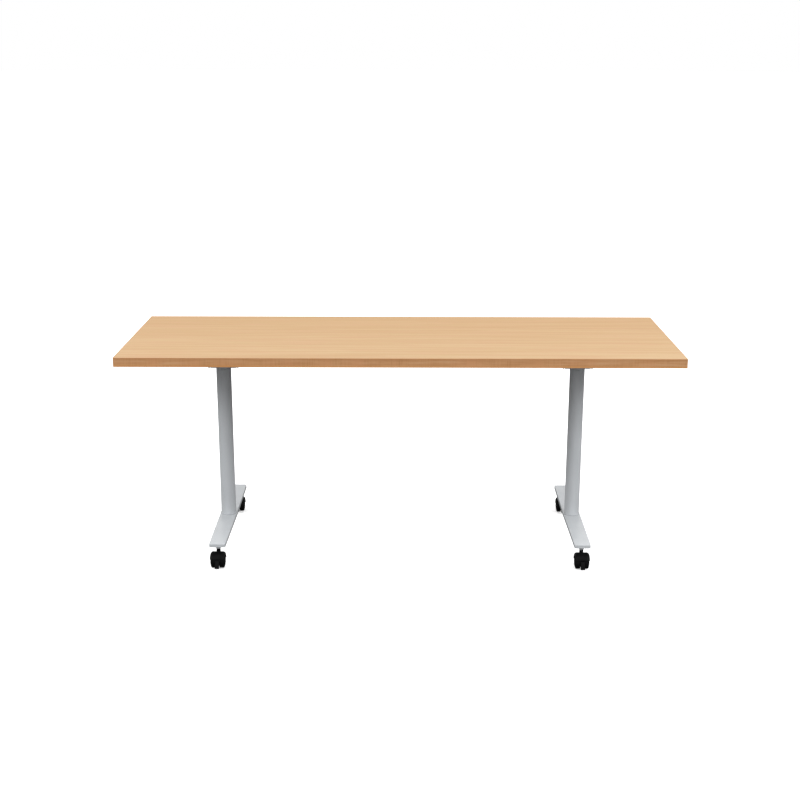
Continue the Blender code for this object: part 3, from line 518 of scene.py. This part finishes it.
# A plug with a thread is pressed into the lower end of each column, and a bolt comes up through
# the foot into it. Both are steel with a bright zinc plating that is faintly brushed.
zinc_dull = (0.50, 0.51, 0.52)
zinc_bright = (0.66, 0.66, 0.65)
merge_within = 2e-6
flat_within = 0.5

bright_zinc, shader, add, wire = start_material("bright_zinc", 0.28, 0.95)
brushing = cloud(add, stretched(add, 40.0, 900.0, 900.0), 1.0, 3.0, 0.6)
bloom = cloud(add, stretched(add), 90.0, 3.0, 0.5)
colour = blend_colours(add, spread(add, bloom, 0.35, 0.65), zinc_dull, zinc_bright)
wire(colour, shader.inputs["Base Color"])
wire(spread(add, brushing, 0.3, 0.7, 0.22, 0.38), shader.inputs["Roughness"])
add_bump(add, wire, shader, brushing, 0.08)


def refined(node, name, material, body, edge_break=0.0003):
    """A merged copy of a CAD node, with its edges slightly broken."""
    bm = bmesh.new()
    bm.from_mesh(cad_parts[node].data)
    bmesh.ops.remove_doubles(bm, verts=bm.verts, dist=merge_within)
    bmesh.ops.dissolve_limit(bm, angle_limit=radians(flat_within), verts=bm.verts,
                             edges=bm.edges)
    finish_piece(bm, name, material, body, [node], edge_break=edge_break)


for side in ("left", "right"):
    refined("column_plug_" + side, "leg_plug_" + side, bright_zinc, "frame", 0)
    refined("column_bolt_" + side, "leg_bolt_" + side, bright_zinc, "frame")

# The column heads are cast tees whose barrels clamp the cross tube, which is the same silver tube
# as the legs and runs from end to end of the table.
for side in ("left", "right"):
    refined("column_head_" + side, "head_casting_" + side, silver_coat, "frame")
low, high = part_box("cross_tube")
middle = (low + high) / 2
outside = (high.z - low.z) / 2
inside = outside - column_wall
profile = [(inside, low.x), (outside, low.x), (outside, high.x), (inside, high.x)]
bm = turned(profile, (0.0, middle.y, middle.z), axis="X")
finish_piece(bm, "cross_rail", silver_coat, "frame", ["cross_tube"])

# A moulded plug stops each end of the cross tube. It is black nylon with a fine grain, slightly
# scuffed, like all the black pieces of the table.
nylon_black = (0.0026, 0.0026, 0.0028)
nylon_scuffed = (0.0050, 0.0050, 0.0052)
nylon_specular = 0.05

black_nylon, shader, add, wire = start_material("black_nylon", 0.45)
shader.inputs["Specular IOR Level"].default_value = nylon_specular
grainy = cloud(add, stretched(add), 900.0, 3.0, 0.6)
scuff = cloud(add, stretched(add), 60.0, 4.0, 0.6)
colour = blend_colours(add, spread(add, scuff, 0.40, 0.70), nylon_black, nylon_scuffed)
wire(colour, shader.inputs["Base Color"])
wire(spread(add, scuff, 0.3, 0.7, 0.40, 0.55), shader.inputs["Roughness"])
add_bump(add, wire, shader, grainy, 0.12)
for side in ("left", "right"):
    refined("tube_cap_" + side, "rail_cap_" + side, black_nylon, "frame")

# The tilt brackets are screwed up into the board and turn round the cross tube on flanged bushes
# of a pale, waxy nylon. Each bracket has six pan-head screws.
nylon_pale = (0.62, 0.60, 0.55)
nylon_milky = (0.72, 0.70, 0.66)
screw_head_radius = 0.0046
screw_head_height = 0.0026
screw_head_round = 0.0018
screw_drive_mouth = 0.0018
screw_drive_floor = 0.0016
screw_drive_depth = 0.45 * screw_head_height
screw_clearance = 0.0001
plate_thickness = 0.004
ear_inner = 0.0463
screw_spacing_x = 0.7 * ear_inner
screw_spacing_y = 0.170

pale_nylon, shader, add, wire = start_material("pale_nylon", 0.45)
waxy = cloud(add, stretched(add), 140.0, 3.0, 0.5)
colour = blend_colours(add, spread(add, waxy, 0.35, 0.65), nylon_pale, nylon_milky)
wire(colour, shader.inputs["Base Color"])
wire(spread(add, waxy, 0.3, 0.7, 0.40, 0.52), shader.inputs["Roughness"])
add_bump(add, wire, shader, waxy, 0.06)


def together(parts):
    """One mesh of several closed bodies."""
    whole = bmesh.new()
    for part in parts:
        mesh = bpy.data.meshes.new("part")
        part.to_mesh(mesh)
        part.free()
        whole.from_mesh(mesh)
        bpy.data.meshes.remove(mesh)
    return whole


for side in ("left", "right"):
    refined("tilt_bracket_" + side, "bracket_" + side, silver_coat, "top")
    for way in ("a", "b"):
        refined("tilt_bush_%s_%s" % (side, way), "bush_%s_%s" % (side, way), pale_nylon, "top",
                0)
    low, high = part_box("tilt_bracket_" + side)
    middle = (low + high) / 2
    seat = high.z - plate_thickness
    drive_floor = screw_drive_depth - screw_head_height
    head = [(0.0, drive_floor), (screw_drive_floor, drive_floor),
            (screw_drive_mouth, -screw_head_height)]
    head += rounded((screw_head_radius - screw_head_round, screw_head_round - screw_head_height),
                    screw_head_round, -90, 0, 4)
    head += [(screw_head_radius, -screw_clearance), (0.0, -screw_clearance)]
    places = [(middle.x + step_x * screw_spacing_x, step_y * screw_spacing_y / 2, seat)
              for step_x in (-1, 0, 1) for step_y in (-1, 1)]
    screws = together([turned(head, place, 24) for place in places])
    finish_piece(screws, "bracket_screws_" + side, bright_zinc, "top", [])

# The release is a plated rod with a black paddle and a steel pawl at each end, and a small
# torsion spring of three turns beside each pawl.
rod_chamfer = 0.001
paddle_edge_break = 0.0006
spring_wire_radius = 0.0007
spring_turns = 3
spring_steps = 72
spring_wire_sides = 12
spring_sharp = 60.0


def pin_profile(radius, low, high, chamfer):
    """Half the section of a round pin with chamfered ends."""
    return [(0.0, low), (radius - chamfer, low), (radius, low + chamfer),
            (radius, high - chamfer), (radius - chamfer, high), (0.0, high)]


def circle(centre, radius, sides):
    return rounded(centre, radius, 0, 360 - 360 / sides, sides - 1)


def coil(axis, radius, start_x, stop_x):
    """A round wire wound about a line along X, with flat ends."""
    bm = bmesh.new()
    section = circle((axis.y + radius, start_x), spring_wire_radius, spring_wire_sides)
    wire_end = bm.faces.new([bm.verts.new((x, y, axis.z)) for y, x in section])
    bmesh.ops.spin(bm, geom=[wire_end], axis=(1, 0, 0), cent=(0, axis.y, axis.z),
                   dvec=((stop_x - start_x) / spring_steps, 0, 0), angle=2 * pi * spring_turns,
                   steps=spring_steps, use_merge=False)
    bmesh.ops.recalc_face_normals(bm, faces=bm.faces)
    return bm


low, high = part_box("release_rod")
rod_middle = (low + high) / 2
rod_radius = (high.z - low.z) / 2
bm = turned(pin_profile(rod_radius, low.x, high.x, rod_chamfer),
            (0.0, rod_middle.y, rod_middle.z), 48, "X")
finish_piece(bm, "release_shaft", bright_zinc, "release", ["release_rod"])
for side in ("left", "right"):
    refined("latch_pawl_" + side, "pawl_" + side, bright_zinc, "release")
    refined("release_paddle_" + side, "paddle_" + side, black_nylon, "release",
            paddle_edge_break)
    low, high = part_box("pawl_spring_" + side)
    ends = [low.x + spring_wire_radius, high.x - spring_wire_radius]
    if side == "left":
        ends.reverse()
    radius = (high.y - low.y) / 2 - spring_wire_radius
    finish_piece(coil(rod_middle, radius, *ends), "spring_" + side, bright_zinc, "top",
                 ["pawl_spring_" + side], spring_sharp)

# Each caster hangs from a turned silver boss that flares up to the foot. A plated stem is pressed
# up through the boss, and its snap groove holds the hood's neck.
boss_neck_radius = 0.0075
boss_flare_radius = 0.014
boss_flare_steps = 16
boss_flare_power = 1.3
boss_spigot_radius = 0.0075
boss_spigot_height = 0.004
boss_edge = 0.0004
boss_clearance = 0.0001
stem_groove_foot = 0.005
stem_groove_depth = 0.0008
stem_groove_width = 0.002
corners = ["%s_%s" % (end, side) for end in ("front", "back") for side in ("left", "right")]
for corner in corners:
    stem_low, stem_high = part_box("caster_stem_" + corner)
    middle = (stem_low + stem_high) / 2
    stem_radius = (stem_high.x - stem_low.x) / 2
    bore = stem_radius + boss_clearance
    low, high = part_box("caster_socket_" + corner)
    flare_top = high.z - boss_spigot_height
    flare_low = low.z + boss_edge
    profile = [(bore, low.z), (boss_neck_radius - boss_edge, low.z)]
    for step in range(boss_flare_steps + 1):
        share = step / boss_flare_steps
        flare = (boss_flare_radius - boss_neck_radius) * share ** boss_flare_power
        profile.append((boss_neck_radius + flare,
                        flare_low + (flare_top - boss_edge - flare_low) * share))
    profile += [(boss_flare_radius - boss_edge, flare_top), (boss_spigot_radius, flare_top),
                (boss_spigot_radius, high.z), (bore, high.z)]
    bm = turned(profile, (middle.x, middle.y, 0.0), 72)
    finish_piece(bm, "boss_" + corner, silver_coat, "frame",
                 ["caster_socket_" + corner])
    groove_low = stem_low.z + stem_groove_foot
    groove_high = groove_low + stem_groove_width
    waist = stem_radius - stem_groove_depth
    lead_in = waist / 4
    profile = [(0.0, stem_low.z), (waist, stem_low.z), (stem_radius, stem_low.z + lead_in),
               (stem_radius, groove_low), (waist, groove_low), (waist, groove_high),
               (stem_radius, groove_high), (stem_radius, stem_high.z), (0.0, stem_high.z)]
    bm = turned(profile, (middle.x, middle.y, 0.0), 48)
    finish_piece(bm, "stem_" + corner, bright_zinc, "frame",
                 ["caster_stem_" + corner])

# The hood is moulded in black nylon: a round-shouldered shell over both wheels, a web between the
# wheels that holds the axle, a neck for the stem and a tongue with the brake lever's pin.
wheel_radius = 0.025
axle_trail = 0.018
axle_radius = 0.003
axle_clearance = 0.0001
hood_radius = 0.0295
hood_half_width = 0.0250
hood_wall = 0.0022
hood_shoulder = 0.0085
hood_rim_radius = 0.01825
hood_rim_round = 0.0006
hood_front_angle = 24.0
hood_back_angle = 176.0
hood_edge = 0.0004
web_half = 0.0055
web_disc_radius = 0.019
web_boss_radius = 0.0085
web_arcs = ((hood_radius - hood_wall / 2, 102, 4, 30), (web_disc_radius, -5, -160, 36),
            (web_boss_radius, -180, -230, 10))
neck_top = 0.0597
neck_foot = 0.0367
neck_bore_foot = 0.0389
neck_root_radius = 0.0065
neck_root_top = 0.0439
neck_flare_radius = 0.0085
neck_flare_low = 0.0469
neck_flare_high = 0.0514
neck_flare_steps = 8
neck_waist_radius = 0.0070
neck_top_radius = 0.0066
neck_edge = 0.0004
neck_clearance = 0.0003
lever_pivot_radius = 0.018
lever_pivot_angle = 46.0
lever_pin_radius = 0.0018
lever_pin_half = 0.0062
tongue_half = 0.0025
tongue_tip_radius = 0.0036
tongue_root_radius = 0.0077


def plate_across(outline, hole, half, middle_x):
    """A plate lying in the plane of the wheels: an outline of (y, z) points round a hole."""
    bm = bmesh.new()
    for loop in (outline, hole):
        ring = [bm.verts.new((middle_x - half, y, z)) for y, z in loop]
        for pair in zip(ring, ring[1:] + ring[:1]):
            bm.edges.new(pair)
    bmesh.ops.triangle_fill(bm, edges=bm.edges[:], use_beauty=True)
    extrude(bm, bm.faces[:], (2 * half, 0, 0))
    bmesh.ops.recalc_face_normals(bm, faces=bm.faces)
    return bm


def strap_outline(first, first_radius, second, second_radius, steps=18):
    """The outline of a belt pulled tight round two circles."""
    across = Vector(second) - Vector(first)
    heading = degrees(atan2(across.y, across.x))
    lean = degrees(acos((first_radius - second_radius) / across.length))
    return (rounded(first, first_radius, heading + lean, heading + 360 - lean, steps)
            + rounded(second, second_radius, heading - lean, heading + lean, steps))


def plain_pin(radius, half, place, steps):
    """A round pin along X with square ends."""
    return turned([(0.0, -half), (radius, -half), (radius, half), (0.0, half)], place, steps, "X")


def hood_shell(axle):
    """The shell over the wheels: its half section, mirrored, is spun round the axle."""
    shoulder_radius = hood_radius - hood_shoulder
    inner_shoulder = hood_shoulder - hood_wall
    inside_half = hood_half_width - hood_wall
    rim = hood_rim_radius + hood_rim_round
    half_section = rounded((shoulder_radius, hood_half_width - hood_shoulder), hood_shoulder,
                           0, 90, 12)
    half_section += rounded((rim, hood_half_width - hood_rim_round), hood_rim_round, 90, 180, 3)
    half_section += rounded((rim, inside_half + hood_rim_round), hood_rim_round, 180, 270, 3)
    half_section += rounded((shoulder_radius, inside_half - inner_shoulder), inner_shoulder,
                            90, 0, 12)
    section = half_section + [(radius, -across) for radius, across in reversed(half_section)]
    start = radians(hood_front_angle)
    bm = bmesh.new()
    front = bm.faces.new([bm.verts.new((across, -radius * cos(start), radius * sin(start)))
                          for radius, across in section])
    bmesh.ops.spin(bm, geom=[front], axis=(-1, 0, 0), cent=(0, 0, 0), dvec=(0, 0, 0),
                   angle=radians(hood_back_angle - hood_front_angle), steps=52, use_merge=False)
    bmesh.ops.remove_doubles(bm, verts=bm.verts, dist=1e-6)
    bmesh.ops.recalc_face_normals(bm, faces=bm.faces)
    ends = [face for face in bm.faces if len(face.verts) > 4]
    round_edges(bm, list({edge for face in ends for edge in face.edges}), hood_edge, 2)
    bmesh.ops.translate(bm, verts=bm.verts, vec=axle)
    return bm


def hood_neck(place, stem_radius):
    """The neck, bored for the stem, with a collar that curves in to its waist."""
    bore = stem_radius + neck_clearance
    profile = [(0.0, neck_foot), (neck_root_radius, neck_foot),
               (neck_root_radius, neck_root_top), (neck_flare_radius, neck_flare_low)]
    for step in range(1, neck_flare_steps + 1):
        turn = pi / 2 * step / neck_flare_steps
        profile.append((neck_waist_radius
                        + (neck_flare_radius - neck_waist_radius) * (1 - sin(turn)),
                        neck_flare_low + (neck_flare_high - neck_flare_low) * (1 - cos(turn))))
    profile += [(neck_top_radius, neck_top - neck_edge), (neck_top_radius - neck_edge, neck_top),
                (bore, neck_top), (bore, neck_bore_foot), (0.0, neck_bore_foot)]
    return turned(profile, place, 64)


def lever_pivot(hub):
    """The (y, z) place of the brake lever's pin, in front of and above the axle."""
    turn = radians(lever_pivot_angle)
    return Vector(hub) + lever_pivot_radius * Vector((-cos(turn), sin(turn)))


for corner in corners:
    stem_low, stem_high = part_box("caster_stem_" + corner)
    stem_radius = (stem_high.x - stem_low.x) / 2
    place = Vector(((stem_low.x + stem_high.x) / 2, (stem_low.y + stem_high.y) / 2, 0.0))
    axle = place + Vector((0.0, -axle_trail, wheel_radius))
    hub = (axle.y, axle.z)
    web_edge = [point for arc in web_arcs for point in rounded(hub, *arc)]
    axle_hole = circle(hub, axle_radius + axle_clearance, 36)
    web = plate_across(web_edge, axle_hole, web_half, axle.x)
    pivot = lever_pivot(hub)
    tongue = plate_across(strap_outline(pivot, tongue_tip_radius, hub, tongue_root_radius),
                          axle_hole, tongue_half, axle.x)
    pin = plain_pin(lever_pin_radius, lever_pin_half, (axle.x, *pivot), 32)
    hood = together([hood_shell(axle), web, hood_neck(place, stem_radius), tongue, pin])
    finish_piece(hood, "hood_" + corner, black_nylon, "caster_" + corner,
                 ["caster_hood_" + corner])

# The axle is a plated steel pin with broken edges, driven through the hood's web. The wheels run
# on its two ends.
axle_edge = 0.0004
for corner in corners:
    low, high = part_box("caster_axle_" + corner)
    middle = (low + high) / 2
    bm = turned(pin_profile(axle_radius, low.x, high.x, axle_edge),
                (0.0, middle.y, middle.z), 40, "X")
    finish_piece(bm, "axle_" + corner, bright_zinc, "caster_" + corner,
                 ["caster_axle_" + corner])

# The twin wheels are hard black nylon mouldings: a tread with a rounded shoulder, a hollow back
# round the hub, and a domed outer disc with a ring groove round its centre.
wheel_half_width = 0.0220
wheel_back = 0.007
wheel_shoulder = 0.0035
wheel_edge = 0.0003
wheel_bore = 0.0033
wheel_bore_foot = 0.021
wheel_hub_radius = 0.0068
wheel_hub_draft = 0.0009
wheel_rim_inside = 0.0215
wheel_rim_draft = 0.0010
wheel_rim_round = 0.0006
wheel_hollow_floor = 0.018
wheel_hollow_round = 0.0008
wheel_disc_radius = 0.0171
wheel_disc_step = 0.0018
wheel_disc_round = 0.0006
wheel_crown = 0.0249
dome_radius = 0.0161
dome_rings = (0.0150, 0.0135, 0.0120, 0.0105, 0.0090, 0.0078)
dome_groove_outer = 0.0066
dome_groove_inner = 0.0058
dome_groove_slope = 0.0002
dome_groove_depth = 0.0003
dome_inner_rings = (0.0045, 0.0030, 0.0015, 0.0)


def dome_height(radius):
    edge = wheel_half_width + wheel_disc_step
    return edge + (wheel_crown - edge) * (1 - (radius / dome_radius) ** 2)


def wheel_profile():
    """(radius, distance from the middle of the caster) round one wheel's section."""
    points = [(0.0, wheel_bore_foot), (wheel_bore, wheel_bore_foot),
              (wheel_bore, wheel_back + wheel_edge), (wheel_bore + wheel_edge, wheel_back),
              (wheel_hub_radius - wheel_edge, wheel_back),
              (wheel_hub_radius, wheel_back + wheel_edge)]
    hollow = wheel_hollow_floor - wheel_hollow_round
    points += rounded((wheel_hub_radius + wheel_hub_draft + wheel_hollow_round, hollow),
                      wheel_hollow_round, 180, 90, 4)
    points += rounded((wheel_rim_inside - wheel_rim_draft - wheel_hollow_round, hollow),
                      wheel_hollow_round, 90, 0, 4)
    points += [(wheel_rim_inside, wheel_back + wheel_edge),
               (wheel_rim_inside + wheel_edge, wheel_back)]
    points += rounded((wheel_radius - wheel_rim_round, wheel_back + wheel_rim_round),
                      wheel_rim_round, -90, 0, 4)
    points += rounded((wheel_radius - wheel_shoulder, wheel_half_width - wheel_shoulder),
                      wheel_shoulder, 0, 90, 10)
    points.append((wheel_disc_radius, wheel_half_width))
    points += rounded((wheel_disc_radius - 2 * wheel_disc_round,
                       wheel_half_width + wheel_disc_step - wheel_disc_round), wheel_disc_round,
                      0, 90, 4)
    points += [(radius, dome_height(radius)) for radius in dome_rings]
    groove_floor = dome_height(dome_groove_outer) - dome_groove_depth
    points += [(dome_groove_outer, dome_height(dome_groove_outer)),
               (dome_groove_outer - dome_groove_slope, groove_floor),
               (dome_groove_inner + dome_groove_slope, groove_floor),
               (dome_groove_inner, dome_height(dome_groove_inner))]
    return points + [(radius, dome_height(radius)) for radius in dome_inner_rings]


for corner in corners:
    axle_low, axle_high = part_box("caster_axle_" + corner)
    middle = (axle_low + axle_high) / 2
    for way in ("inner", "outer"):
        node = "caster_wheel_%s_%s" % (corner, way)
        low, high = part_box(node)
        outward = 1.0 if low.x + high.x > 2 * middle.x else -1.0
        profile = [(radius, outward * across) for radius, across in wheel_profile()]
        bm = turned(profile, middle, axis="X")
        finish_piece(bm, "wheel_%s_%s" % (corner, way), black_nylon,
                     "wheel_%s_%s" % (corner, way), [node])

# The brake lever is moulded in the same black nylon: a fork that rocks on the tongue's pin, an
# elbow, and a wider tab with grip ribs that is pressed down with a foot. Its parts lap each other
# and step by a tenth of a millimetre, so that no two of their faces coincide.
lever_hub_radius = 0.0042
lever_hole_radius = 0.0020
lever_elbow = Vector((-0.0274, 0.0035))
lever_tip = Vector((-0.0352, -0.0162))
lever_round = 0.0015
lever_arm_half = 0.0063
lever_tab_half = 0.0073
lever_slot_half = 0.0028
lever_edge_break = 0.0003
lever_lap = 0.0010
lever_step = 0.0001
fork_root = Vector((-0.0049, -0.0017))
fork_way = Vector((-0.947, -0.322))
tab_start = 0.40
tab_flare = 0.08
rib_count = 4
rib_first = 0.58
rib_spacing = 0.09
rib_margin = 0.0012
rib_radius = 0.0005
rib_sink = 0.0002


def trimmed(outline, point, keep):
    """The part of a (y, z) outline on the kept side of a line."""
    bm = bmesh.new()
    bm.faces.new([bm.verts.new((0.0, y, z)) for y, z in outline])
    slice_through(bm, (0.0, *point), (0.0, *keep), clear_inner=True)
    bm.faces.ensure_lookup_table()
    left = [(vert.co.y, vert.co.z) for vert in bm.faces[0].verts]
    bm.free()
    return left


def lever_tab(middle_x, elbow, tip):
    """The arm from elbow to tip, narrower above the tab, with ribs across the tab."""
    bm = plate_across(strap_outline(elbow, lever_round + lever_step, tip, lever_round), [],
                      lever_tab_half, middle_x)
    reach = tip - elbow
    for share in (tab_start, tab_start + tab_flare):
        slice_through(bm, (0.0, *(elbow + share * reach)), (0.0, *reach))
    narrowed = (lever_arm_half + lever_step) / lever_tab_half
    for vert in bm.verts:
        along = (Vector((vert.co.y, vert.co.z)) - elbow).dot(reach) / reach.length_squared
        if along < tab_start + tab_flare / 2:
            vert.co.x = middle_x + (vert.co.x - middle_x) * narrowed
    outward = Vector((reach.y, -reach.x)).normalized()
    ribs = []
    for number in range(rib_count):
        place = elbow + (rib_first + number * rib_spacing) * reach
        place += outward * (lever_round - rib_sink)
        ribs.append(plain_pin(rib_radius, lever_tab_half - rib_margin, (middle_x, *place), 16))
    return together([bm] + ribs)


for corner in corners:
    low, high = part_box("caster_axle_" + corner)
    axle = (low + high) / 2
    hub = Vector((axle.y, axle.z))
    pivot = lever_pivot(hub)
    elbow = hub + lever_elbow
    tip = hub + lever_tip
    root = pivot + fork_root
    fork = trimmed(strap_outline(pivot, lever_hub_radius, elbow, lever_round), root, fork_way)
    cheek = trimmed(strap_outline(pivot, lever_hub_radius, elbow, lever_round - lever_step),
                    root + lever_lap * fork_way, -fork_way)
    cheek_outside = lever_arm_half - lever_step
    cheek_half = (cheek_outside - lever_slot_half) / 2
    cheek_place = (cheek_outside + lever_slot_half) / 2
    pin_hole = circle(pivot, lever_hole_radius, 24)
    lever = together([plate_across(cheek, pin_hole, cheek_half, axle.x - cheek_place),
                      plate_across(cheek, pin_hole, cheek_half, axle.x + cheek_place),
                      plate_across(fork, [], lever_arm_half, axle.x),
                      lever_tab(axle.x, elbow, tip)])
    finish_piece(lever, "lever_" + corner, black_nylon, "brake_" + corner,
                 ["brake_lever_" + corner], edge_break=lever_edge_break)
